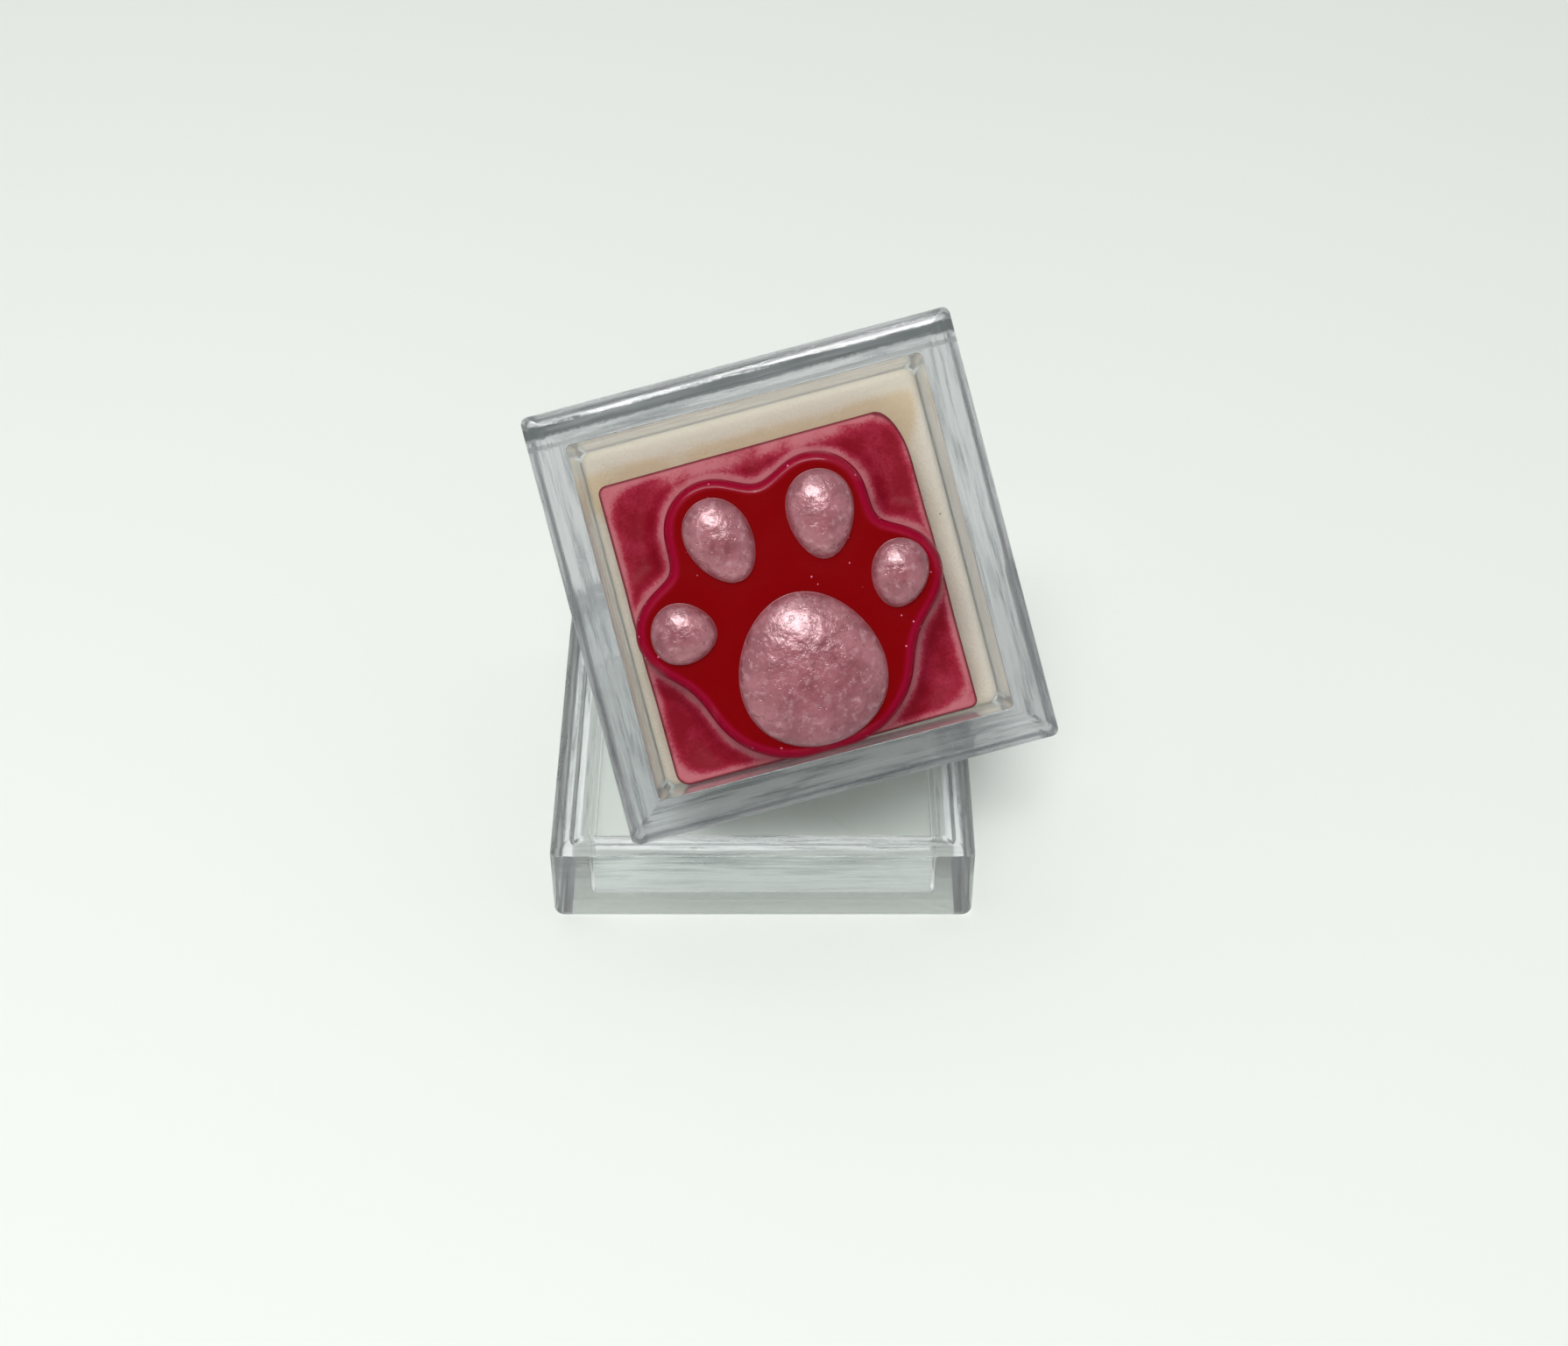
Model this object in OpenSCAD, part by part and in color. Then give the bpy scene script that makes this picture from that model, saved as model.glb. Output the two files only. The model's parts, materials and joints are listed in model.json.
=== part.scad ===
// Small clear case in two shells, with a foam-lined tray that holds a loose square block
// with a paw-shaped pad on it. The cover lies upside down on the table, open side up, and
// the tray leans in it with its open side towards -Y, so that the pad faces forward.
// The origin is the centre of the cover's flat underside. +Z is up. Sizes are in mm.

/* [Case] */
// Outer width of both shells, each way
case_w = 25; // [24.5:0.1:25.5]
// Wall thickness of both shells
wall_t = 2.15; // [1.9:0.05:2.3]
// Height of the cover
cover_h = 5.6; // [5.5:0.1:6]
// Floor thickness of the cover
cover_floor_t = 1.2; // [1:0.05:1.3]
// Height of the tray, with the tongue on its rim
tray_h = 13; // [12.5:0.1:13.5]
// Floor thickness of the tray
tray_floor_t = 1.5; // [1:0.1:2]
// Radius of the shells' outer upright corners
corner_r = 0.5; // [0.3:0.1:0.8]
// Radius of the long edges around each shell's closed face
edge_r = 1; // [0.6:0.1:1.2]
// Height of the tongue on the tray's rim
tongue_h = 0.35; // [0.2:0.05:0.5]
// Width of the land outside the tongue
land_w = 1.1; // [0.9:0.05:1.2]

/* [Stand] */
// Lean of the tray back from lying flat, in degrees
tray_tilt = 50; // [49.5:0.5:50.5]
// Turn of the tray about its own axis, in degrees
tray_roll = 14.8; // [14:0.1:15.5]
// Place of the middle of the tray's closed face along X, as the tray leans in the cover
tray_x = 1.6; // [1.4:0.1:1.6]
// Its place along Y
tray_y = 3.9; // [3.9:0.1:4.1]
// Its height above the table
tray_z = 13.2; // [13.2:0.1:13.6]

/* [Liner] */
// Thickness of the foam liner
liner_t = 3.5; // [2.5:0.1:4]

/* [Pad] */
// Width of the square block, each way
pad_w = 18.2; // [17.8:0.1:18.2]
// Height of the block's border above its underside
border_h = 2.4; // [2:0.1:2.6]
// Height of the step that the paw layer lies on
riser_h = 3; // [2.8:0.1:3.4]
// Height of the paw layer's top above the block's underside
paw_h = 5; // [4.6:0.1:5.2]
// Height of the palm bean above the paw layer
palm_rise = 1.3; // [0.8:0.1:1.6]
// Height of the toe beans above the paw layer
toe_rise = 1; // [0.6:0.1:1.3]

/* [Hidden] */
$fn = 48;
skin = 0.02;                       // thin slice that a hull starts from
fit_gap = 0.05;                    // clearance between pieces that sit in each other
cavity_w = case_w - 2 * wall_t;
rebate_d = tongue_h + fit_gap;     // depth of the cover's step for the tongue
liner_w = cavity_w - 0.2;
liner_r = 0.6;
liner_z = tray_floor_t + fit_gap;
pad_at = [-0.4, -1.05, liner_z + liner_t + fit_gap];
pad_turn = 0.6;
pad_r = 0.5;                       // three of the block's corners
worn_r = 1.5;                      // the block's upper right corner
dish_r = 5;                        // hollows in the block's four corners
dish_d = 0.6;
hollow_w = 12.6;                   // space under the block
hollow_d = 2.2;
post_d = 5.6;                      // post under the block, with a cross-shaped socket
socket_l = 4.1;
socket_t = 1.3;
blend_r = 2.5;                     // fillets between the paw's lobes
seat_d = 0.5;                      // depth of the beans' seats in the paw layer
inner_toe_at = [3.05, 4.15];
outer_toe_at = [6.45, -0.4];
palm_at = [0.1, -4.3];

module rounded_square(w, r) {
    offset(r) square(w - 2 * r, center = true);
}

// A block with upright corners of corner_r and edge_r round its lower face.
module shell_body(w, h) {
    hull() {
        for (a = [0:15:90])
            translate([0, 0, edge_r * (1 - cos(a))])
                linear_extrude(skin)
                    rounded_square(w - 2 * edge_r * (1 - sin(a)), corner_r);
        translate([0, 0, h - skin]) linear_extrude(skin) rounded_square(w, corner_r);
    }
}

module box(w, z0, z1) {
    translate([-w / 2, -w / 2, z0]) cube([w, w, z1 - z0]);
}

module in_tray() {
    translate([tray_x, tray_y, tray_z]) rotate([tray_tilt, 0, 0]) rotate([0, 0, tray_roll]) children();
}

module on_liner() {
    in_tray() translate(pad_at) rotate([0, 0, pad_turn]) children();
}

module cover() {
    color([0.84, 0.89, 0.91], 0.4)
        difference() {
            shell_body(case_w, cover_h);
            box(cavity_w, cover_floor_t, cover_h + 1);
            box(case_w - 2 * land_w, cover_h - rebate_d, cover_h + 1);
        }
}

module tray() {
    color([0.84, 0.89, 0.91], 0.4)
        in_tray()
            difference() {
                shell_body(case_w, tray_h);
                box(cavity_w, tray_floor_t, tray_h + 1);
                difference() {
                    box(case_w + 2, tray_h - tongue_h, tray_h + 1);
                    box(case_w - 2 * land_w - 2 * fit_gap, 0, tray_h + 2);
                }
            }
}

module liner() {
    color([0.9, 0.86, 0.76])
        in_tray()
            translate([0, 0, liner_z])
                linear_extrude(liner_t) rounded_square(liner_w, liner_r);
}

// Outline of the square block, with one corner more rounded than the others.
module pad_outline() {
    c = pad_w / 2 - worn_r;
    union() {
        difference() {
            rounded_square(pad_w, pad_r);
            translate([c, c]) square(worn_r + 1);
        }
        translate([c, c]) circle(worn_r);
    }
}

// Paw outline: four toe lobes and a broad palm, blended into each other.
module paw_outline() {
    offset(-blend_r) offset(blend_r) union() {
        for (side = [-1, 1]) {
            translate([side * inner_toe_at[0], inner_toe_at[1] + 0.7]) circle(2.95);
            translate([side * (outer_toe_at[0] - 0.1), outer_toe_at[1] + 0.1]) circle(2.75);
        }
        hull() for (side = [-1, 1]) translate([side, -3.9]) circle(5.3);
    }
}

// The beans' outlines, each about its own centre. Side is -1 on the left and 1 on the right.
module inner_toe_outline(side) {
    hull() {
        translate([side * 0.05, 0.6]) circle(1.9);
        translate([side * -0.35, -1.3]) circle(1.25);
    }
}

module outer_toe_outline() {
    hull() {
        translate([0, 0.2]) circle(1.75);
        translate([0, -0.35]) circle(1.6);
    }
}

module palm_outline() {
    hull() {
        translate([0, 0.9]) circle(3.6);
        for (side = [-1, 1]) translate([side, -1.3]) circle(3.2);
    }
}

// A bean: a plug that fills its seat in the paw layer, and a dome over it.
module bean(at, rise) {
    color([0.8, 0.5, 0.57])
        on_liner()
            translate([at[0], at[1], paw_h]) {
                translate([0, 0, fit_gap - seat_d]) linear_extrude(seat_d - fit_gap) children();
                hull()
                    for (a = [0:15:75])
                        translate([0, 0, rise * sin(a)])
                            linear_extrude(skin) scale(cos(a)) children();
            }
}

module seat(at) {
    translate([at[0], at[1], paw_h - seat_d])
        linear_extrude(seat_d + 1) offset(fit_gap) children();
}

module pad_block() {
    color([0.66, 0.16, 0.27])
        on_liner()
            difference() {
                union() {
                    difference() {
                        linear_extrude(border_h) pad_outline();
                        for (x = [-1, 1], y = [-1, 1])
                            translate([x * 7, y * 6.7, border_h + dish_r - dish_d]) sphere(dish_r);
                    }
                    linear_extrude(riser_h) paw_outline();
                }
                difference() {
                    box(hollow_w, -1, hollow_d);
                    cylinder(d = post_d, h = riser_h);
                }
                for (turn = [0, 90])
                    rotate([0, 0, turn])
                        translate([-socket_l / 2, -socket_t / 2, -1])
                            cube([socket_l, socket_t, hollow_d + 1]);
            }
}

module paw_layer() {
    color([0.62, 0.01, 0.06])
        on_liner()
            difference() {
                translate([0, 0, riser_h]) linear_extrude(paw_h - riser_h) paw_outline();
                for (side = [-1, 1]) {
                    seat([side * inner_toe_at[0], inner_toe_at[1]]) inner_toe_outline(side);
                    seat([side * outer_toe_at[0], outer_toe_at[1]]) outer_toe_outline();
                }
                seat(palm_at) palm_outline();
            }
}

module palm_bean() { bean(palm_at, palm_rise) palm_outline(); }
module left_outer_toe() { bean([-outer_toe_at[0], outer_toe_at[1]], toe_rise) outer_toe_outline(); }
module left_inner_toe() { bean([-inner_toe_at[0], inner_toe_at[1]], toe_rise) inner_toe_outline(-1); }
module right_inner_toe() { bean(inner_toe_at, toe_rise) inner_toe_outline(1); }
module right_outer_toe() { bean(outer_toe_at, toe_rise) outer_toe_outline(); }

cover();
tray();
liner();
pad_block();
paw_layer();
palm_bean();
left_outer_toe();
left_inner_toe();
right_inner_toe();
right_outer_toe();
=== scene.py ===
# Clear two-part case with a foam-lined tray and a loose square block with a paw-shaped pad.
# Sizes in the dictionaries are in millimetres; meshes are written in metres.
import bpy
import json
import math
from mathutils import Matrix, Vector, kdtree, noise


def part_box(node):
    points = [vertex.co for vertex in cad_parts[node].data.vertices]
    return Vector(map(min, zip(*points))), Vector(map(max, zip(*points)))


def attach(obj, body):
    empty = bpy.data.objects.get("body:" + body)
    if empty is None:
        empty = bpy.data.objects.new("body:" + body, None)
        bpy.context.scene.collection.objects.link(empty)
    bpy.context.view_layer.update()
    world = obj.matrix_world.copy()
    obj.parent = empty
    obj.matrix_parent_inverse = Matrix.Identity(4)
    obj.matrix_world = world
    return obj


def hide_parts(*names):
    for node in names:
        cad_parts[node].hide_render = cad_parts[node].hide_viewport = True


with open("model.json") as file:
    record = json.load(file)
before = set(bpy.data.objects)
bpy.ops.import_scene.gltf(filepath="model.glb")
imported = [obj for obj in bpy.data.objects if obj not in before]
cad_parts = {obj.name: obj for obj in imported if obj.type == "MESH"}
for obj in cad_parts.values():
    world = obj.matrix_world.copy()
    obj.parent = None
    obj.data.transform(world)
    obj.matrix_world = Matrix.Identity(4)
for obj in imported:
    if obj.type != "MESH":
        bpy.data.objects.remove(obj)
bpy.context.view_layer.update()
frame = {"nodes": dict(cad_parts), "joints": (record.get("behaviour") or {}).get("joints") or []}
mm = 0.001
print("stage: frame loaded")

# Where the parts lie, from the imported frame.
stand = {
    "trayRoll": 14.8,    # turn of the tray about its own axis, degrees
    "blockTurn": 0.6,    # turn of the block in the tray, degrees
}


def jointAxis(name):
    return Vector(next(j["axis"] for j in frame["joints"] if j["name"] == name)).normalized()


def extent(node, axes):    # lowest and highest reach of a part along three axes
    reach = [[v.co.dot(axis) for v in frame["nodes"][node].data.vertices] for axis in axes]
    return Vector([min(r) for r in reach]), Vector([max(r) for r in reach])


def framedOn(node, axes):    # a frame at the middle of a part's lower face, in mm
    low, high = extent(node, axes)
    middle = (low + high) / 2
    middle.z = low.z
    turned = Matrix(axes).transposed()
    return Matrix.Translation(turned @ middle) @ turned.to_4x4() @ Matrix.Scale(mm, 4)


def turnedAxes(axes, degrees):    # turned about the third axis
    across, up, out = axes
    c, s = math.cos(math.radians(degrees)), math.sin(math.radians(degrees))
    return across * c + up * s, up * c - across * s, out


trayOut = jointAxis("liner_pull")
sideways = Vector((1, 0, 0))
trayAxes = turnedAxes((sideways, trayOut.cross(sideways), trayOut), stand["trayRoll"])
blockAxes = turnedAxes(trayAxes, stand["blockTurn"])
coverFrame = framedOn("cover", (Vector((1, 0, 0)), Vector((0, 1, 0)), Vector((0, 0, 1))))
trayFrame = framedOn("tray", trayAxes)
linerFrame = framedOn("liner", trayAxes)
blockFrame = framedOn("pad_block", blockAxes)
coverLow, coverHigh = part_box("cover")
coverTall = (coverHigh.z - coverLow.z) / mm
caseWide = (coverHigh.x - coverLow.x) / mm


def tall(node, axes):
    low, high = extent(node, axes)
    return (high.z - low.z) / mm


trayTall = tall("tray", trayAxes)
linerTall = tall("liner", trayAxes)
print("stage: frames measured")


# Helpers for nodes.
class Wire:    # a socket that can stand in a sum
    def __init__(self, finish, socket):
        self.finish = finish
        self.socket = socket

    def sum(self, operation, first, second):
        return self.finish.node("Math", {"operation": operation}, {0: first, 1: second})

    def __add__(self, other):
        return self.sum("ADD", self, other)

    def __radd__(self, other):
        return self.sum("ADD", other, self)

    def __sub__(self, other):
        return self.sum("SUBTRACT", self, other)

    def __rsub__(self, other):
        return self.sum("SUBTRACT", other, self)

    def __mul__(self, other):
        return self.sum("MULTIPLY", self, other)

    def __rmul__(self, other):
        return self.sum("MULTIPLY", other, self)


class Bench:    # a node tree and the tools to fill it
    def __init__(self, tree):
        self.tree = tree

    def node(self, kind, settings=None, sockets=None, out=0):
        made = self.tree.nodes.new("ShaderNode" + kind)
        for key, value in (settings or {}).items():
            setattr(made, key, value)
        for key, value in (sockets or {}).items():
            self.feed(made.inputs[key], value)
        return Wire(self, made.outputs[out])

    def feed(self, socket, value):
        if isinstance(value, Wire):
            self.tree.links.new(value.socket, socket)
        else:
            socket.default_value = value

    def step(self, value, low, high, most=1.0):    # eased from 0 at low to most at high
        sockets = {0: value, 1: low, 2: high, 3: 0.0, 4: most}
        return self.node("MapRange", {"interpolation_type": "SMOOTHSTEP"}, sockets)

    def mix(self, share, first, second):
        return self.node("Mix", {"data_type": "RGBA"}, {0: share, 6: first, 7: second}, out=2)

    def dot(self, first, second):
        return self.node("VectorMath", {"operation": "DOT_PRODUCT"}, {0: first, 1: second}, out="Value")


class Finish(Bench):    # one material, built around its Principled shader
    def __init__(self, name):
        self.material = bpy.data.materials.new(name)
        self.material.use_nodes = True
        super().__init__(self.material.node_tree)
        self.shader = self.tree.nodes["Principled BSDF"]
        self.place = self.node("Attribute", {"attribute_name": "place"}, out="Vector")

    def painted(self, name):    # a number painted on the mesh
        return self.node("Attribute", {"attribute_name": name}, out="Fac")

    def grain(self, size, detail, rough=0.5, stretch=None):    # noise with features of that size in mm
        where = self.place
        if stretch:
            where = self.node("VectorMath", {"operation": "MULTIPLY"}, {0: where, 1: stretch})
        sockets = {"Vector": where, "Scale": 1 / size, "Detail": detail, "Roughness": rough}
        return self.node("TexNoise", None, sockets)

    def cells(self, size):    # distance to scattered points, in cells
        return self.node("TexVoronoi", None, {"Vector": self.place, "Scale": 1 / size}, "Distance")

    def bump(self, height, depth, strength):    # depth of the relief in mm
        sockets = {"Height": height, "Distance": depth * mm, "Strength": strength}
        return self.node("Bump", None, sockets, "Normal")

    def wear(self, **values):    # Base_Color=tone feeds the shader's Base Color
        for key, value in values.items():
            self.feed(self.shader.inputs[key.replace("_", " ")], value)


def colour(red, green, blue):    # from screen values, 0 to 255
    def linear(c):
        c = c / 255
        return c / 12.92 if c <= 0.04045 else ((c + 0.055) / 1.055) ** 2.4
    return linear(red), linear(green), linear(blue), 1.0


# Helpers for meshes. A ring is a closed row of points, in mm in its part's own frame.
def eased(x, low=0.0, high=1.0):
    t = min(1.0, max(0.0, (x - low) / (high - low)))
    return t * t * (3 - 2 * t)


def squareRing(half, radius, z, sideSteps=1):    # a rounded square at height z
    radius = min(radius, half)
    core = half - radius
    corners = ((core, core), (-core, core), (-core, -core), (core, -core))
    arcSteps = 6

    def atCorner(corner, turns):    # on a corner's round, that many quarter turns from +X
        x, y = corners[corner % 4]
        angle = turns * math.pi / 2
        return Vector((x + radius * math.cos(angle), y + radius * math.sin(angle), z))

    points = []
    for corner in range(4):
        for step in range(arcSteps + 1):
            points.append(atCorner(corner, corner + step / arcSteps))
        sideStart, sideEnd = points[-1], atCorner(corner + 1, corner + 1)
        for step in range(1, sideSteps):
            points.append(sideStart.lerp(sideEnd, step / sideSteps))
    return points


def lofted(name, rings, place, painted):    # skin between rings, with fans on its ends
    count = len(rings[0])
    points = [p for ring in rings for p in ring]
    faces = []
    for row in range(len(rings) - 1):
        for i in range(count):
            j = (i + 1) % count
            a, b = row * count, (row + 1) * count
            faces.append((a + i, a + j, b + j, b + i))
    for row, backwards in ((0, True), (len(rings) - 1, False)):
        centre = sum((p for p in rings[row]), Vector()) / count
        points.append(centre)
        for i in range(count):
            pair = (row * count + i, row * count + (i + 1) % count)
            if backwards:
                pair = pair[::-1]
            faces.append((*pair, len(points) - 1))
    mesh = bpy.data.meshes.new(name)
    mesh.from_pydata([place @ p for p in points], [], faces)
    mesh.validate()
    where = mesh.attributes.new("place", "FLOAT_VECTOR", "POINT")
    where.data.foreach_set("vector", [c for p in points for c in p])
    for key, rule in painted.items():
        layer = mesh.attributes.new(key, "FLOAT", "POINT")
        layer.data.foreach_set("value", [rule(p) for p in points])
    piece = bpy.data.objects.new(name, mesh)
    bpy.context.scene.collection.objects.link(piece)
    mesh.shade_smooth()
    return piece


def flatKept(piece):    # weighted normals keep flat faces flat beside small rounds
    modifier = piece.modifiers.new("Normals", "WEIGHTED_NORMAL")
    modifier.keep_sharp = True
    modifier.weight = 60
    return piece


def dressed(piece, finish, body, node):
    piece.data.materials.append(finish)
    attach(piece, body)
    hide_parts(node)


def quarter(steps):    # a quarter turn in steps: the shares of its width gone and left at each
    turns = [math.pi / 2 * (k + 1) / steps for k in range(steps)]
    return [(1 - math.cos(a), 1 - math.sin(a)) for a in turns]


# Clear shells.
shell = {
    "wall": 2.15,
    "cornerRadius": 0.42,
    "cavityRadius": 0.35,
    "coverEdgeRadius": 1.0,     # rounds along the cover's closed face
    "trayEdgeRadius": 0.8,      # and the tray's
    "rimRound": 0.05,           # small rounds along the rim
    "floorRound": 0.3,          # fillet at the cavity's floor
    "land": 1.1,                # width outside the tongue
    "step": 0.35,               # height of the tongue
    "draft": 0.06,              # the cavity narrows by this much towards its floor
    "coverFloor": 1.2,
    "trayFloor": 1.5,
    "stepGap": 0.05,
    "landFrom": 0.9,            # the lands' wear fades in between these depths under the rim
    "landTo": 0.6,
}


def shellRings(tallness, edge, floor, step, inset):    # step is above 0 for a tongue, below 0 for a rebate
    half = caseWide / 2
    corner, rim, inner = shell["cornerRadius"], shell["rimRound"], shell["cavityRadius"]
    small = rim / 2
    cavity = half - shell["wall"]
    low, fillet = cavity - shell["draft"], shell["floorRound"]
    outerTop = tallness - max(step, 0)
    innerTop = tallness + min(step, 0)
    stepAt = half - shell["land"] - inset
    rings = [squareRing(half - edge, corner, 0)]
    for gone, left in quarter(8):
        rings.append(squareRing(half - edge * left, corner, edge * gone))
    rings.append(squareRing(half, corner, outerTop - rim))
    for gone, left in quarter(4):
        rings.append(squareRing(half - rim * gone, corner, outerTop - rim * left))
    if step > 0:
        rings.append(squareRing(stepAt, corner, outerTop))
        rings.append(squareRing(stepAt, corner, innerTop - small))
        for gone, left in quarter(3):
            rings.append(squareRing(stepAt - small * gone, corner, innerTop - small * left))
    else:
        rings.append(squareRing(stepAt + small, corner, outerTop))
        for gone, left in quarter(3):
            rings.append(squareRing(stepAt + small * left, corner, outerTop - small * gone))
        rings.append(squareRing(stepAt, corner, innerTop))
    rings.append(squareRing(cavity + rim, inner, innerTop))
    for gone, left in quarter(4):
        rings.append(squareRing(cavity + rim * left, inner, innerTop - rim * gone))
    rings.append(squareRing(low, inner, floor + fillet))
    for gone, left in quarter(4):
        rings.append(squareRing(low - fillet * gone, inner, floor + fillet * left))
    return rings


clear = {
    "bright": colour(250, 252, 252),
    "wornShadeGrey": colour(168, 174, 176),    # worn streaks along the lands, their grey also a painted shade that darkens the lands
    "streak": 0.3,                    # their width
    "streakLong": 0.06,               # how much slower they change along the land
    "wearShadeFrom": 0.42,
    "wearShadeTo": 0.7,
    "paintedShade": colour(92, 99, 101),      # painted shade: a dark band along the tray's upper land
    "shadeFrom": 0.68,                 # where it starts and ends, from the outer side
    "shadeTo": 1.4,
    "lipFrom": 1.76,                  # a thinner band of painted shade along the tongue's inner edge
    "lipTo": 2.04,
    "shadeFade": (0.1, 0.12),          # half the widths over which they fade in and out
    "lipFade": (0.05, 0.05),
    "bandRough": 0.45,
    "index": 1.5,
    "haze": 0.06,
    "coverClarity": 0.94,
    "trayClarity": 0.88,
    "coverDensity": 120.0,            # of the tint inside the plastic
    "trayDensity": 90.0,
    "depthTint": (0.65, 0.65, 0.675, 1.0),
    "shadow": (0.97, 0.975, 0.975, 1.0),
    "wave": 4.0,                      # size and depth of the slow waves in the faces
    "relief": 0.05,
}


def bandShare(f, across, low, high, fades):    # 1 between two distances from the upper side
    fadeIn, fadeOut = fades
    return f.step(across, low - fadeIn, low + fadeIn) * f.step(across, high + fadeOut, high - fadeOut)


def clearPlastic(name, paintsShade, clarity, density):
    f = Finish(name)
    slow = clear["streakLong"]
    alongX = f.grain(clear["streak"], 4.0, 0.65, (slow, 1.0, 1.0))
    alongY = f.grain(clear["streak"], 4.0, 0.65, (1.0, slow, 1.0))
    streaks = alongX + (alongY - alongX) * f.painted("side")
    land = f.painted("land")
    # Worn streaks on the lands; their grey tone is also painted shade
    wearAndShade = f.step(streaks, clear["wearShadeFrom"], clear["wearShadeTo"]) * land
    tone = f.mix(wearAndShade, clear["bright"], clear["wornShadeGrey"])
    fine = f.grain(0.25, 3.0, 0.6)
    band = 0.0
    # On the tray, painted shade: dark bands along the upper land and the tongue's inner edge
    if paintsShade:
        wander = 0.5 * (streaks - 0.5) + 0.25 * (fine - 0.5)
        across = caseWide / 2 - f.dot(f.place, (0, 1, 0)) + wander
        paintedShade = bandShare(f, across, clear["shadeFrom"], clear["shadeTo"], clear["shadeFade"])
        lip = bandShare(f, across, clear["lipFrom"], clear["lipTo"], clear["lipFade"])
        band = (paintedShade * (0.8 + 0.4 * streaks) + 0.5 * lip) * land
        tone = f.mix(band, tone, clear["paintedShade"])
    waves = f.grain(clear["wave"], 2.0)
    rough = clear["haze"] + 0.05 * fine + 0.22 * wearAndShade + clear["bandRough"] * band
    relief = waves + 0.04 * fine + 0.2 * land * streaks
    f.wear(Base_Color=tone, Roughness=rough, IOR=clear["index"], Transmission_Weight=clarity,
           Normal=f.bump(relief, clear["relief"], 0.6))
    shadowRay = f.node("LightPath", None, None, "Is Shadow Ray")
    passing = f.node("BsdfTransparent", None, {"Color": clear["shadow"]})
    mixed = f.node("MixShader", None, {0: shadowRay, 1: Wire(f, f.shader.outputs["BSDF"]), 2: passing})
    tint = f.node("VolumeAbsorption", None, {"Color": clear["depthTint"], "Density": density})
    output = f.tree.nodes["Material Output"]
    f.feed(output.inputs["Surface"], mixed)
    f.feed(output.inputs["Volume"], tint)
    return f.material


def shellPaint(tallness):    # where the lands are, and which way they run
    low, high = tallness - shell["landFrom"], tallness - shell["landTo"]
    return {"land": lambda p: eased(p.z, low, high),
            "side": lambda p: 1.0 if abs(p.x) > abs(p.y) else 0.0}


coverPlastic = clearPlastic("coverPlastic", False, clear["coverClarity"], clear["coverDensity"])
trayPlastic = clearPlastic("trayPlastic", True, clear["trayClarity"], clear["trayDensity"])
tongue, gap = shell["step"], shell["stepGap"]
coverRings = shellRings(coverTall, shell["coverEdgeRadius"], shell["coverFloor"], -tongue - gap, 0.0)
coverShell = flatKept(lofted("coverShell", coverRings, coverFrame, shellPaint(coverTall)))
dressed(coverShell, coverPlastic, "cover", "cover")
trayRings = shellRings(trayTall, shell["trayEdgeRadius"], shell["trayFloor"], tongue, gap)
trayShell = flatKept(lofted("trayShell", trayRings, trayFrame, shellPaint(trayTall)))
dressed(trayShell, trayPlastic, "tray", "tray")
print("stage: clear shells made")


# Sizes of the square block. They come before the foam, which has painted shade around it.
block = {
    "width": 18.2,
    "border": 2.4,          # height of the border
    "bandWidth": 0.6,       # width of the border band
    "collar": 0.75,         # height that the flank climbs to the paw
    "collarReach": 1.8,
    "valley": 0.38,         # depth of the corner hollows
    "seat": 2.95,           # height of the seat under the paw layer
    "edge": 0.12,
    "cornerRound": {    # radii along X and Y, by the corner's side in X and Y
        (-1, 1): (0.5, 0.5), (-1, -1): (0.8, 0.8), (1, -1): (0.45, 0.45), (1, 1): (1.5, 3.4)},
    "hollow": 12.6,
    "hollowDeep": 2.2,
    "post": 5.6,
    "socketLong": 4.1,
    "socketThick": 1.3,
    "around": 480,          # points in each of its rings
    "flankRows": 44,
    "underside": 1.0,       # below this height the flank's paint stops
    "seatPlay": 0.02,       # the seat is this much wider than the paw
    "innerFaces": 0.01,     # least width of the flank, where the paw reaches past the block's side
    "lowerEdge": 0.1,       # cut off the lower edge
}


# Foam liner.
foam = {
    "width": 20.5,
    "cornerRadius": 0.7,
    "edgeRound": 0.5,
    "lowerEdge": 0.2,
    "sag": 0.12,           # the block presses the middle down by this much
    "sagFrom": 0.3,        # the dip deepens between these distances from the edge
    "sagTo": 2.5,
    "topRows": 34,
    "sidePoints": 40,
    "pale": colour(207, 202, 190),
    "upper": colour(188, 182, 168),    # shaded by the upper wall
    "upperFrom": 7.5,
    "upperTo": 9.2,
    # tan for the painted shade beside the block, and for the mottling
    "tan": colour(188, 171, 142),
    "fleck": colour(120, 100, 90),
    "tanReach": 2.1,       # mm around the block that the painted shade reaches
    "tanUnder": 0.3,       # share of the painted shade under it
}
blockInTray = trayFrame.inverted() @ blockFrame.translation


def shadeBesideBlock(p):    # painted shade: 1 beside the block, 0 away from it
    dx, dy = p.x - blockInTray.x, p.y - blockInTray.y
    away = max(abs(dx), abs(dy)) - block["width"] / 2
    share = 0.45 + 0.55 * eased(dy - abs(dx), -3.0, -1.0)    # strongest along the upper side
    beside = share * (1 - eased(away, 0.2, foam["tanReach"]))
    under = eased(-away, 0.0, 2.0)
    return beside + (foam["tanUnder"] - beside) * under


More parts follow.
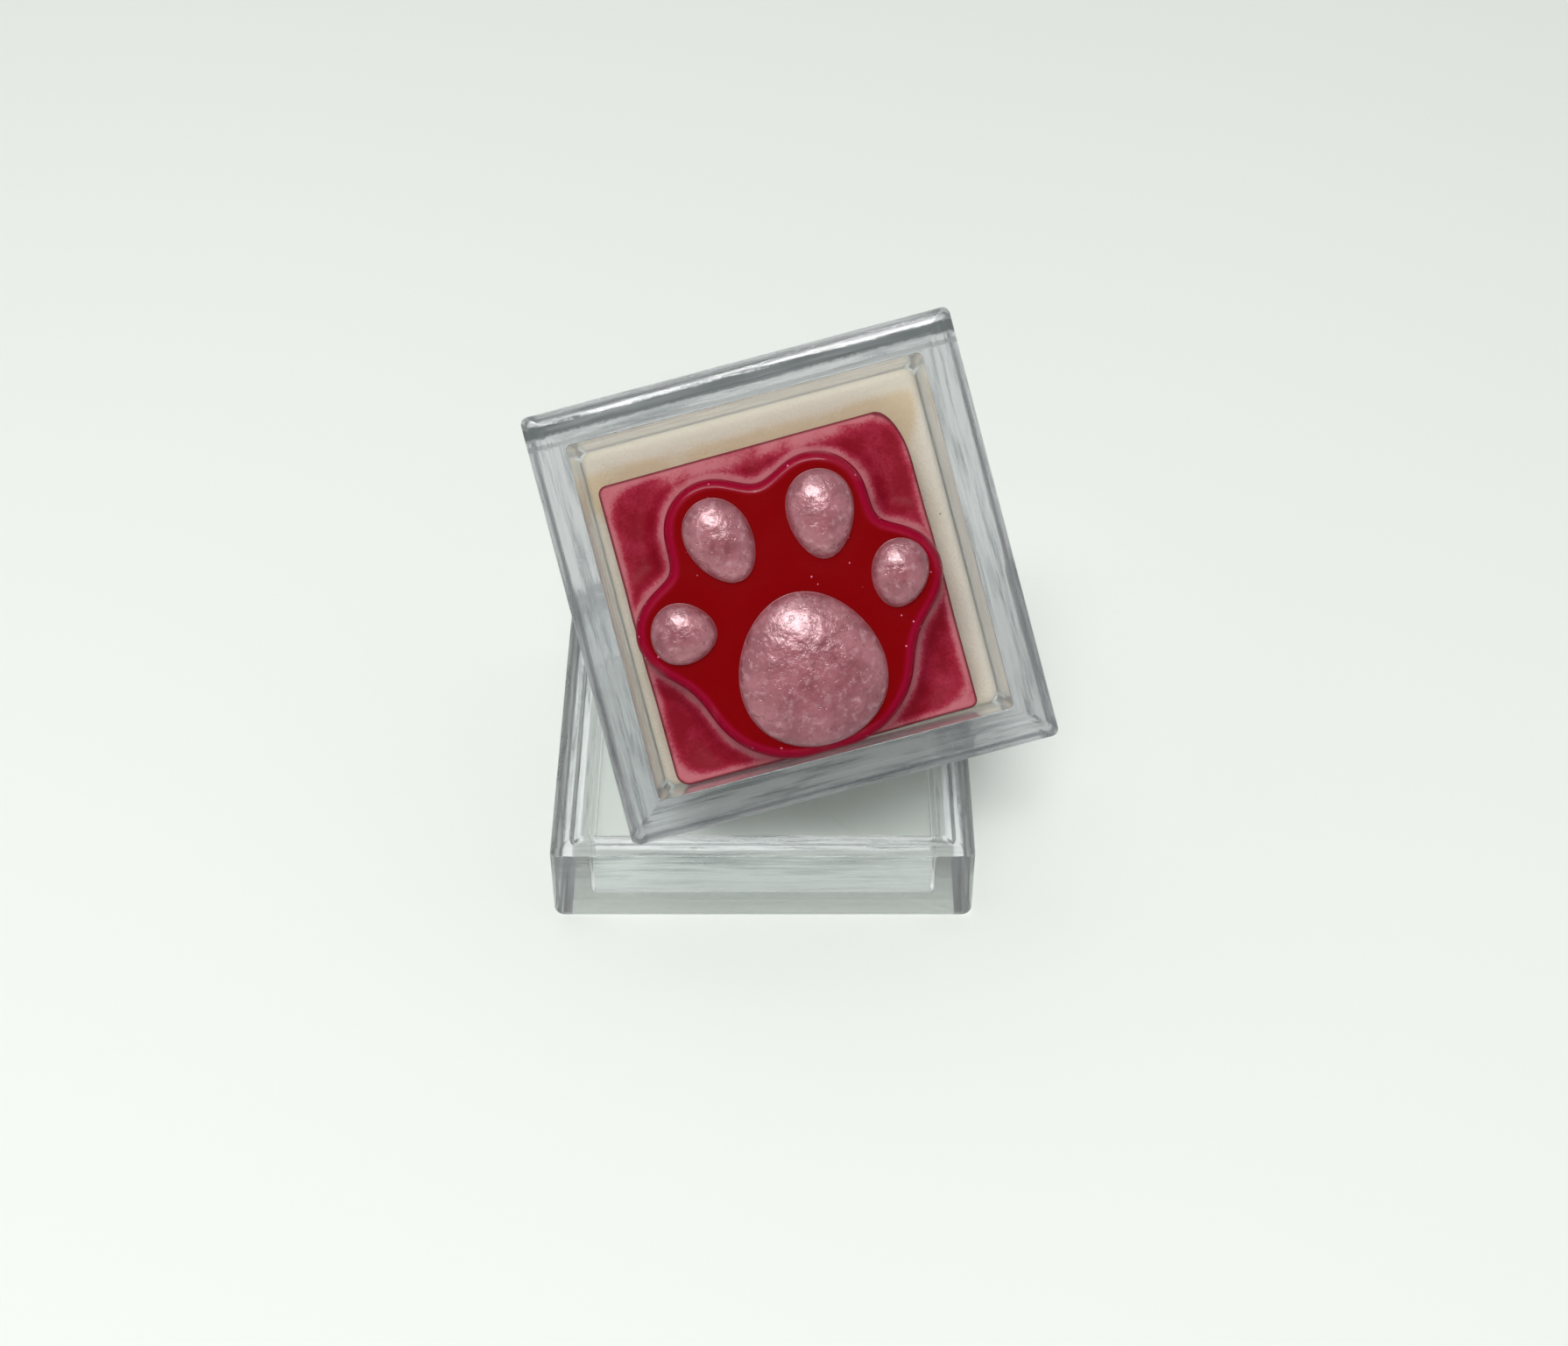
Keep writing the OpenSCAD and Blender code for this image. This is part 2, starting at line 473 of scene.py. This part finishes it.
def linerRings():
    half, top, edge, corner = foam["width"] / 2, linerTall, foam["edgeRound"], foam["cornerRadius"]
    lower, along, rows = foam["lowerEdge"], foam["sidePoints"], foam["topRows"]
    sides = [squareRing(half - lower, corner, 0, along), squareRing(half, corner, lower, along),
             squareRing(half, corner, top - edge, along)]
    face = []
    for gone, left in quarter(6):
        face.append(squareRing(half - edge * gone, corner, top - edge * left, along))
    for row in range(1, rows):
        share = 1 - row / rows
        face.append(squareRing((half - edge) * share, corner * share, top, along))
    for ring in face:
        for p in ring:
            inside = eased(half - max(abs(p.x), abs(p.y)), foam["sagFrom"], foam["sagTo"])
            lump = noise.noise(Vector((p.x * 0.5, p.y * 0.5, 3.0))) * 0.5 + 0.5
            p.z -= foam["sag"] * inside * (0.6 + 0.4 * lump)
    return sides + face


def foamFinish():
    f = Finish("creamFoam")
    blotch = f.grain(2.2, 3.0)
    fine = f.grain(0.12, 2.0)
    pores = f.cells(0.22)
    # painted shade: tan beside the block, broken up by blotches
    tanShadeShare = f.step(f.painted("near") * (0.5 + 1.0 * blotch) + 0.25 * (fine - 0.5), 0.15, 0.95)
    tone = f.mix(tanShadeShare, foam["pale"], foam["tan"])
    tone = f.mix(f.painted("upper") * (1 - tanShadeShare), tone, foam["upper"])
    mottled = f.mix(f.step(fine, 0.35, 0.75, 0.25), tone, foam["tan"])
    specks = f.step(f.cells(1.3), 0.06, 0.03) * f.step(f.grain(3.0, 1.0), 0.55, 0.6)
    mottled = f.mix(specks, mottled, foam["fleck"])
    f.wear(Base_Color=mottled, Roughness=0.75 + 0.15 * fine, Sheen_Weight=0.15,
           Subsurface_Weight=0.15, Subsurface_Radius=(1.0, 0.8, 0.5), Subsurface_Scale=0.001,
           Normal=f.bump(pores + 0.6 * fine, 0.06, 0.5))
    return f.material


linerPaint = {"near": shadeBesideBlock, "upper": lambda p: eased(p.y, foam["upperFrom"], foam["upperTo"])}
foamLiner = lofted("foamLiner", linerRings(), linerFrame, linerPaint)
dressed(foamLiner, foamFinish(), "liner", "liner")
print("stage: foam liner made")


# Outlines on the block.
paw = {
    "top": 5.0,
    "bottom": 3.0,
    "edgeRound": 0.6,
    "edgeDrop": 0.9,             # share of that round that the top falls by
    "moat": 0.03,                # depth and width of the dip around each bean
    "moatWidth": 0.6,
    "edgeRows": 16,
    "topRows": 22,
    "outerBand": 0.22,           # share of the radius that the close rows take
    "edgeFrom": 0.35,            # the rim band's colour fades between these widths
    "edgeTo": 0.8,
    "lobes": [(-3.05, 4.85, 2.95), (3.05, 4.85, 2.95), (-6.35, -0.3, 2.75), (6.35, -0.3, 2.75)],
    "palm": (1.0, -3.9, 5.3),    # half length, height and radius of the broad palm
    "blend": 2.75,               # how softly the lobes run together
}


def smoothLeast(a, b, reach):
    h = max(reach - abs(a - b), 0) / reach
    return min(a, b) - h * h * reach / 4


def pawDistance(x, y):    # below 0 inside the paw
    halfLong, level, radius = paw["palm"]
    found = math.hypot(x - max(-halfLong, min(halfLong, x)), y - level) - radius
    for cx, cy, r in paw["lobes"]:
        found = smoothLeast(found, math.hypot(x - cx, y - cy) - r, paw["blend"])
    return found


def blockDistance(x, y):    # below 0 inside the square block
    half = block["width"] / 2
    rx, ry = block["cornerRound"][(1 if x > 0 else -1, 1 if y > 0 else -1)]
    ax, ay = abs(x) - (half - rx), abs(y) - (half - ry)
    if ax > 0 and ay > 0:
        return (math.hypot(ax / rx, ay / ry) - 1) * min(rx, ry)
    return max(abs(x), abs(y)) - half


def angles():    # one for each point of the block's rings
    return [2 * math.pi * k / block["around"] for k in range(block["around"])]


def polarOutline(distance):    # where each ray from the middle leaves the shape
    nearest, furthest = 0.5, 16.0    # every outline lies between these
    halvings = 40
    radii = []
    for angle in angles():
        c, s = math.cos(angle), math.sin(angle)
        low, high = nearest, furthest
        for _ in range(halvings):
            middle = (low + high) / 2
            if distance(c * middle, s * middle) < 0:
                low = middle
            else:
                high = middle
        radii.append(low)
    return radii


def polarRing(radii, z):
    return [Vector((r * math.cos(a), r * math.sin(a), z)) for a, r in zip(angles(), radii)]


def rectangleRadius(angle, halfX, halfY):
    c, s = abs(math.cos(angle)), abs(math.sin(angle))
    return min(halfX / max(c, 1e-9), halfY / max(s, 1e-9))


# Square block.
pawRadii = polarOutline(pawDistance)
blockRadii = polarOutline(blockDistance)


def outlineTree(radii):
    parts = 4    # points along each stretch of the outline
    tree = kdtree.KDTree(len(radii) * parts)
    ring = polarRing(radii, 0)
    for k, p in enumerate(ring):
        for part in range(parts):
            tree.insert(p.lerp(ring[(k + 1) % len(ring)], part / parts), k * parts + part)
    tree.balance()
    return tree


pawTree = outlineTree(pawRadii)


def fromPawEdge(x, y):
    return pawTree.find(Vector((x, y, 0)))[2]


def flankReach(p):    # distances from the paw and from the block's outer edge
    fromPaw = fromPawEdge(p.x, p.y) if pawDistance(p.x, p.y) > 0 else 0.0
    half = block["width"] / 2
    fromEdge = smoothLeast(half - abs(p.x), half - abs(p.y), 2.0)    # rounds the band at the corners
    return fromPaw, max(0.0, fromEdge)


def outwards(p):    # level, away from the block's middle
    return Vector((p.x, p.y, 0)).normalized()


def flankHeight(fromPaw, fromEdge):
    gap = fromPaw + fromEdge
    room = eased(gap, 0.4, 4.0)
    climb = block["collar"] * (1 - eased(fromPaw, 0, block["collarReach"])) ** 1.3
    dip = block["valley"] * room * eased(fromEdge, block["bandWidth"] * 0.3, block["bandWidth"] + 1.6)
    return block["border"] + climb - dip * eased(fromPaw, 0, 1.2)


def flankRings():    # the seat under the paw layer, the flank and the round on its outer edge
    slack = block["edge"] + block["innerFaces"]
    inner = [min(r + block["seatPlay"], b - slack) for r, b in zip(pawRadii, blockRadii)]
    outer = [b - block["edge"] for b in blockRadii]
    rings = [polarRing([r * 0.5 for r in inner], block["seat"]), polarRing(inner, block["seat"])]
    for row in range(block["flankRows"] + 1):
        t = row / block["flankRows"]
        ring = polarRing([a + (b - a) * t for a, b in zip(inner, outer)], 0)
        for p in ring:
            p.z = flankHeight(*flankReach(p))
        rings.append(ring)
    shoulder = rings[-1]
    for gone, left in quarter(3):
        drop, push = block["edge"] * gone, block["edge"] * (1 - left)
        rings.append([p + outwards(p) * push - Vector((0, 0, drop)) for p in shoulder])
    return rings


def undersideRings(edge):    # down the sides, then the hollow with its post and socket
    lower = block["lowerEdge"]
    rings = [[Vector((p.x, p.y, lower)) for p in edge],
             [Vector((p.x, p.y, 0)) - outwards(p) * lower for p in edge]]
    wide, deep = block["hollow"] / 2, block["hollowDeep"]
    longHalf, thickHalf = block["socketLong"] / 2, block["socketThick"] / 2
    hollow = [rectangleRadius(a, wide, wide) for a in angles()]
    post = [block["post"] / 2] * block["around"]
    bar = [rectangleRadius(a, longHalf, thickHalf) for a in angles()]
    crossbar = [rectangleRadius(a, thickHalf, longHalf) for a in angles()]
    cross = [max(pair) for pair in zip(bar, crossbar)]
    for radii, z in ((hollow, 0), (hollow, deep), (post, deep), (post, 0), (cross, 0), (cross, deep)):
        rings.append(polarRing(radii, z))
    return rings


def blockRings():
    rings = flankRings()
    return rings + undersideRings(rings[-1])


def frostAndShadeShare(p):    # 1 on the pale frosted bands, 0 in the hollows; besides the frost it paints shade in the hollows and light on the bands
    if p.z < block["underside"]:
        return 0.3
    fromPaw, fromEdge = flankReach(p)
    bands = 1 - eased(min(fromPaw * 1.15, fromEdge * 1.3), 0.15, 0.95)
    upper = eased(p.y, 5.0, 8.0) * (1 - eased(fromEdge, 0.4, 1.5))    # a wider one above the inner toes, painted light on the upper side
    return max(bands, upper * (1 - eased(abs(p.x - 0.5), 4.0, 7.5)))


def edgeShadeShare(p):    # 1 on the sharp outer edge, where a dark line is painted as the shade of the block's side
    return 0.0 if p.z < block["underside"] else 1 - eased(-blockDistance(p.x, p.y), 0.06, 0.2)


def collarShare(p):    # 1 on the thin pale line around the paw
    return 0.0 if p.z < block["underside"] else 1 - eased(flankReach(p)[0], 0.08, 0.32)


resin = {
    "deep": colour(128, 0, 26),
    "mid": colour(150, 28, 54),
    "pale": colour(180, 102, 110),    # frosted, and the painted light on the bands
    "line": colour(92, 2, 22),        # painted shade along the sharp outer edge
    "cloud": 1.5,                     # sizes of the frost's clouds, patches and fine grain
    "patch": 3.2,
    "fine": 0.16,
    "everywhere": 0.13,               # a little frost all over
}


def resinFinish():
    f = Finish("redResin")
    cloud = f.grain(resin["cloud"], 4.0, 0.6)
    patch = f.grain(resin["patch"], 2.0)
    fine = f.grain(resin["fine"], 3.0, 0.65)
    uneven = 1.2 * (cloud - 0.5) + 0.9 * (patch - 0.5) + 0.7 * (fine - 0.5)
    # frost the block has, with painted shade in the hollows and painted light on the bands and the upper
    # side
    frostAndShade = 0.78 * f.painted("frostAndShade") + uneven + resin["everywhere"]
    lower = f.mix(f.step(frostAndShade, 0.0, 0.45), resin["deep"], resin["mid"])
    tone = f.mix(f.step(frostAndShade, 0.35, 1.0), lower, resin["pale"])
    tone = f.mix(0.5 * f.painted("collar"), tone, resin["pale"])
    # painted shade: a dark line along the outer edge
    tone = f.mix(0.85 * f.painted("line"), tone, resin["line"])
    f.wear(Base_Color=tone, Roughness=0.55 + 0.2 * f.step(frostAndShade, 0.0, 1.0), Subsurface_Weight=0.15,
           Subsurface_Radius=(1.0, 0.25, 0.3), Subsurface_Scale=0.0006,
           Specular_IOR_Level=0.15, Coat_Weight=0.03, Coat_Roughness=0.4,
           Normal=f.bump(fine + 0.5 * cloud, 0.03, 0.4))
    return f.material


blockPaint = {"frostAndShade": frostAndShadeShare, "line": edgeShadeShare, "collar": collarShare}
padBlock = lofted("padBlock", blockRings(), blockFrame, blockPaint)
dressed(padBlock, resinFinish(), "pad", "pad_block")
print("stage: square block made")


# Paw layer. The beans' places come first, because it dips around them.
beans = {
    "palmBean": {"node": "palm_bean", "at": (0.2, -4.3), "size": (9.0, 8.55), "taper": 0.13, "turn": 90,
                 "rise": 1.35, "seed": 1},
    "leftOuterToe": {"node": "left_outer_toe", "at": (-6.34, -0.45), "size": (3.85, 3.55), "taper": 0.14,
                     "turn": -14, "rise": 0.95, "seed": 2},
    "leftInnerToe": {"node": "left_inner_toe", "at": (-2.9, 4.15), "size": (5.2, 3.85), "taper": 0.12,
                     "turn": -74, "rise": 1.0, "seed": 3},
    "rightInnerToe": {"node": "right_inner_toe", "at": (3.08, 4.15), "size": (5.2, 3.9), "taper": 0.16,
                      "turn": -98, "rise": 1.05, "seed": 4},
    "rightOuterToe": {"node": "right_outer_toe", "at": (6.58, -0.32), "size": (4.0, 3.3), "taper": 0.1,
                      "turn": -115, "rise": 1.0, "seed": 5},
}


def beanGap(x, y):    # distance from the nearest bean's edge, roughly
    nearest = 9.0
    for spec in beans.values():
        dx, dy = x - spec["at"][0], y - spec["at"][1]
        turn = math.radians(spec["turn"])
        along = dx * math.cos(turn) + dy * math.sin(turn)
        across = dy * math.cos(turn) - dx * math.sin(turn)
        halfL, halfW = spec["size"][0] / 2, spec["size"][1] / 2
        squeeze = 1 - spec["taper"] * max(-1, min(1, along / halfL))
        outside = math.hypot(along / halfL, across / (halfW * squeeze)) - 1
        nearest = min(nearest, outside * min(halfL, halfW))
    return nearest


def pawTop(x, y):
    inside = fromPawEdge(x, y)
    bend = paw["edgeRound"]
    fall = 0.0
    if inside < bend:
        fall = bend - math.sqrt(bend * bend - (bend - inside) ** 2)
    moat = paw["moat"] * math.exp(-(max(0.0, beanGap(x, y)) / paw["moatWidth"]) ** 2)
    return paw["top"] - fall * paw["edgeDrop"] - moat


def pawRings():
    rings = [polarRing([r * 0.5 for r in pawRadii], paw["bottom"]), polarRing(pawRadii, paw["bottom"])]
    close, rows, band = paw["edgeRows"], paw["topRows"], paw["outerBand"]
    crowded = [(1 - k / close) ** 1.6 for k in range(close + 1)]    # close together at the edge
    shares = [1 - band * (1 - share) for share in crowded]
    shares += [(1 - band) * (1 - k / rows) for k in range(1, rows)]
    for share in shares:
        points = []
        for p in polarRing([r * share for r in pawRadii], 0):
            p.z = pawTop(p.x, p.y)
            points.append(p)
        rings.append(points)
    return rings


def edgeShare(p):    # 1 on the paw layer's rim band
    return 1 - eased(fromPawEdge(p.x, p.y), paw["edgeFrom"], paw["edgeTo"])


gel = {
    "deep": colour(118, 0, 4),
    "edge": colour(136, 0, 36),
    "speck": colour(214, 120, 150),
    "cloud": 1.8,
    "speckApart": 0.7,
    "wetPatch": 2.6,      # size of the glossy patches on the rim band
}


def gelFinish():
    f = Finish("redGel")
    edge = f.painted("edge")
    cloud = f.grain(gel["cloud"], 3.0)
    fine = f.grain(0.1, 2.0)
    tone = f.mix(f.step(edge * (0.6 + 0.8 * cloud), 0.1, 1.0), gel["deep"], gel["edge"])
    chance = f.grain(2.0, 1.0)
    speck = f.step(f.cells(gel["speckApart"]), 0.10, 0.06) * f.step(chance + 0.12 * edge, 0.5, 0.56)
    tone = f.mix(speck, tone, gel["speck"])
    wet = edge * f.step(f.grain(gel["wetPatch"], 1.0), 0.55, 0.62)
    f.wear(Base_Color=tone, Roughness=0.22 + 0.1 * cloud + 0.1 * edge, Specular_IOR_Level=0.06,
           Coat_Weight=0.6 - 0.57 * edge + 0.4 * wet, Coat_Roughness=0.07,
           Normal=f.bump(cloud + 0.05 * fine + 0.5 * speck, 0.05, 0.5))
    return f.material


pawLayer = lofted("pawLayer", pawRings(), blockFrame, {"edge": edgeShare})
dressed(pawLayer, gelFinish(), "pad", "paw_layer")
print("stage: paw layer made")


# Beans.
dome = {
    "sink": 0.12,       # how far the dome starts under the paw layer's top
    "plug": 0.35,       # and how far the plug goes under that
    "around": 128,
    "rows": 30,
    "lump": 0.025,      # height of the lumps
    "lumpFrom": 2,      # rows above the plug that stay smooth
    "rimFrom": 0.02,    # the pale rim, a painted reflection, fades between these heights above the paw layer
    "rimTo": 0.25,
}


def beanRings(spec):
    turn, around, rows = math.radians(spec["turn"]), dome["around"], dome["rows"]
    halfL, halfW = spec["size"][0] / 2, spec["size"][1] / 2
    base = Vector((spec["at"][0], spec["at"][1], paw["top"] - dome["sink"]))

    def outline(share, height):
        ring = []
        for k in range(around):
            a = 2 * math.pi * k / around
            x = halfL * math.cos(a) * share
            y = halfW * math.sin(a) * share * (1 - spec["taper"] * math.cos(a))
            ring.append(base + Vector((x * math.cos(turn) - y * math.sin(turn),
                                       x * math.sin(turn) + y * math.cos(turn), height)))
        return ring

    plug = [outline(0.5, -dome["plug"]), outline(0.93, -dome["plug"])]
    cap = []
    for row in range(rows):
        a = math.pi / 2 * row / rows
        share, lift = math.cos(a) ** 0.95, math.sin(a) ** 0.9
        cap.append(outline(share, lift * (spec["rise"] + dome["sink"])))
    offset = Vector((spec["seed"] * 7.3, 0, 0))    # gives each bean its own lumps
    for ring in cap[dome["lumpFrom"]:]:
        for p in ring:
            lump = noise.noise(p * 1.3 + offset) + 0.5 * noise.noise(p * 3.1 + offset)
            p.z += dome["lump"] * lump
    return plug + cap


pearl = {
    "dark": colour(130, 62, 73),
    "mid": colour(158, 90, 101),
    "pale": colour(208, 160, 168),
    "cloud": 1.3,
    "flake": 0.42,
    "pit": 0.45,
    "glint": 0.3,
    "relief": 0.1,
}


def pearlFinish():
    f = Finish("pinkPearl")
    cloud = f.grain(pearl["cloud"], 4.0, 0.6)
    flakes = f.grain(pearl["flake"], 3.0, 0.6)
    pits = f.step(f.grain(pearl["pit"], 2.0, 0.7), 0.42, 0.3)
    glints = f.cells(pearl["glint"])
    lower = f.mix(f.step(cloud, 0.3, 0.65), pearl["dark"], pearl["mid"])
    tone = f.mix(f.step(flakes, 0.48, 0.8, 0.55), lower, pearl["pale"])
    # painted shade: darker in the pits
    tone = f.mix(0.6 * pits, tone, pearl["dark"])
    # painted reflection: a pale rim at the bean's foot
    tone = f.mix(0.6 * f.painted("rim"), tone, pearl["pale"])
    f.wear(Base_Color=tone, Metallic=0.08 + 0.2 * flakes, Roughness=0.24 + 0.14 * cloud,
           Specular_IOR_Level=1.0, Coat_Weight=0.7, Coat_Roughness=0.24,
           Normal=f.bump(flakes + 0.6 * cloud + 0.2 * glints - 0.5 * pits, pearl["relief"], 0.55))
    return f.material


def rimReflectionShare(p):    # 1 on the pale line where a bean meets the paw layer, a painted reflection
    return 1 - eased(p.z, paw["top"] + dome["rimFrom"], paw["top"] + dome["rimTo"])


pearlPink = pearlFinish()
for name, spec in beans.items():
    bean = lofted(name, beanRings(spec), blockFrame, {"rim": rimReflectionShare})
    dressed(bean, pearlPink, "pad", spec["node"])
print("stage: beans made")


# Studio. The camera's place is in mm, the floor and the lamps in metres.
studio = {
    "cameraAt": (1.26, -119.7, 116.6),
    "lookDown": 42.0,
    "lens": 60.3,
    "sensor": 36,
    "nearest": 0.005,    # the camera shows nothing closer than this
    "floorWide": 3.0,
    "floorTone": colour(229, 232, 227),
    "sky": (0.94, 0.965, 0.945, 1.0),
    "skyLow": (1.3, 1.32, 1.31, 1.0),       # near the horizon
    "screen": (0.025, 0.025, 0.03, 1.0),    # a dark screen on one side, for the reflections
    "screenSide": (0.0, -0.74, 0.67),
    "screenLift": 0.5,                      # the share of it that matt surfaces don't see
    "skyStrength": 0.555,
    "aim": (0, 0, 0.01),                    # what the lamps point at
}
lamps = {    # a fill lamp that isn't mirrored stays out of reflections
    "window": {"at": (-0.07, -0.15, 0.38), "size": (0.22, 0.10), "watts": 0.98,
               "mirrored": True, "sparesTray": False},
    "ceiling": {"at": (-0.08, 0.05, 0.42), "size": (0.24, 0.12), "watts": 0.15,
                "mirrored": True, "sparesTray": True},
    "lowFront": {"at": (0.02, -0.42, 0.09), "size": (0.34, 0.10), "watts": 0.3,
                 "mirrored": False, "sparesTray": True},
}


def makeCamera():
    camera = bpy.data.objects.new("camera", bpy.data.cameras.new("camera"))
    camera.data.lens = studio["lens"]
    camera.data.sensor_width = studio["sensor"]
    camera.data.clip_start = studio["nearest"]
    camera.location = Vector(studio["cameraAt"]) * mm
    camera.rotation_euler = (math.radians(90 - studio["lookDown"]), 0, 0)
    bpy.context.scene.collection.objects.link(camera)
    bpy.context.scene.camera = camera


def makeFloor():
    half = studio["floorWide"] / 2
    mesh = bpy.data.meshes.new("floor")
    corners = [(-half, -half, 0), (half, -half, 0), (half, half, 0), (-half, half, 0)]
    mesh.from_pydata(corners, [], [(0, 1, 2, 3)])
    floor = bpy.data.objects.new("floor", mesh)
    bpy.context.scene.collection.objects.link(floor)
    finish = Finish("paleFloor")
    finish.wear(Base_Color=studio["floorTone"], Roughness=0.85)
    floor.data.materials.append(finish.material)


def makeLamp(name, lamp, spared):
    data = bpy.data.lights.new(name, "AREA")
    data.shape = "RECTANGLE"
    data.size, data.size_y = lamp["size"]
    data.energy = lamp["watts"]
    light = bpy.data.objects.new(name, data)
    light.location = lamp["at"]
    light.rotation_euler = (Vector(studio["aim"]) - light.location).to_track_quat("-Z", "Y").to_euler()
    light.visible_glossy = lamp["mirrored"]
    light.visible_transmission = False    # it doesn't show through the clear shells
    if lamp["sparesTray"]:
        light.light_linking.receiver_collection = spared
    bpy.context.scene.collection.objects.link(light)


def makeWorld():
    world = bpy.data.worlds.new("studio")
    world.use_nodes = True
    bpy.context.scene.world = world
    bench = Bench(world.node_tree)
    way = bench.node("TexCoord", out="Generated")
    height = bench.dot(way, (0, 0, 1))
    tone = bench.mix(bench.step(height, 0.1, 0.75), studio["skyLow"], studio["sky"])
    screened = bench.step(bench.dot(way, studio["screenSide"]), 0.8, 0.97)
    diffuse = bench.node("LightPath", None, None, "Is Diffuse Ray")
    through = bench.node("LightPath", None, None, "Is Transmission Ray")
    screened = screened * (1 - studio["screenLift"] * diffuse)
    screened = screened * (1 - through)    # it doesn't show through the clear shells
    background = world.node_tree.nodes["Background"]
    bench.feed(background.inputs["Color"], bench.mix(screened, tone, studio["screen"]))
    background.inputs["Strength"].default_value = studio["skyStrength"]


def sparedGroup(piece):    # a lamp linked to this group leaves the piece out
    group = bpy.data.collections.new("spared")
    group.objects.link(piece)
    group.collection_objects[0].light_linking.link_state = "EXCLUDE"
    return group


makeCamera()
makeFloor()
makeWorld()
noGlare = sparedGroup(trayShell)
for name, lamp in lamps.items():
    makeLamp(name, lamp, noGlare)
bpy.context.scene.view_settings.view_transform = "Standard"
print("stage: studio ready")
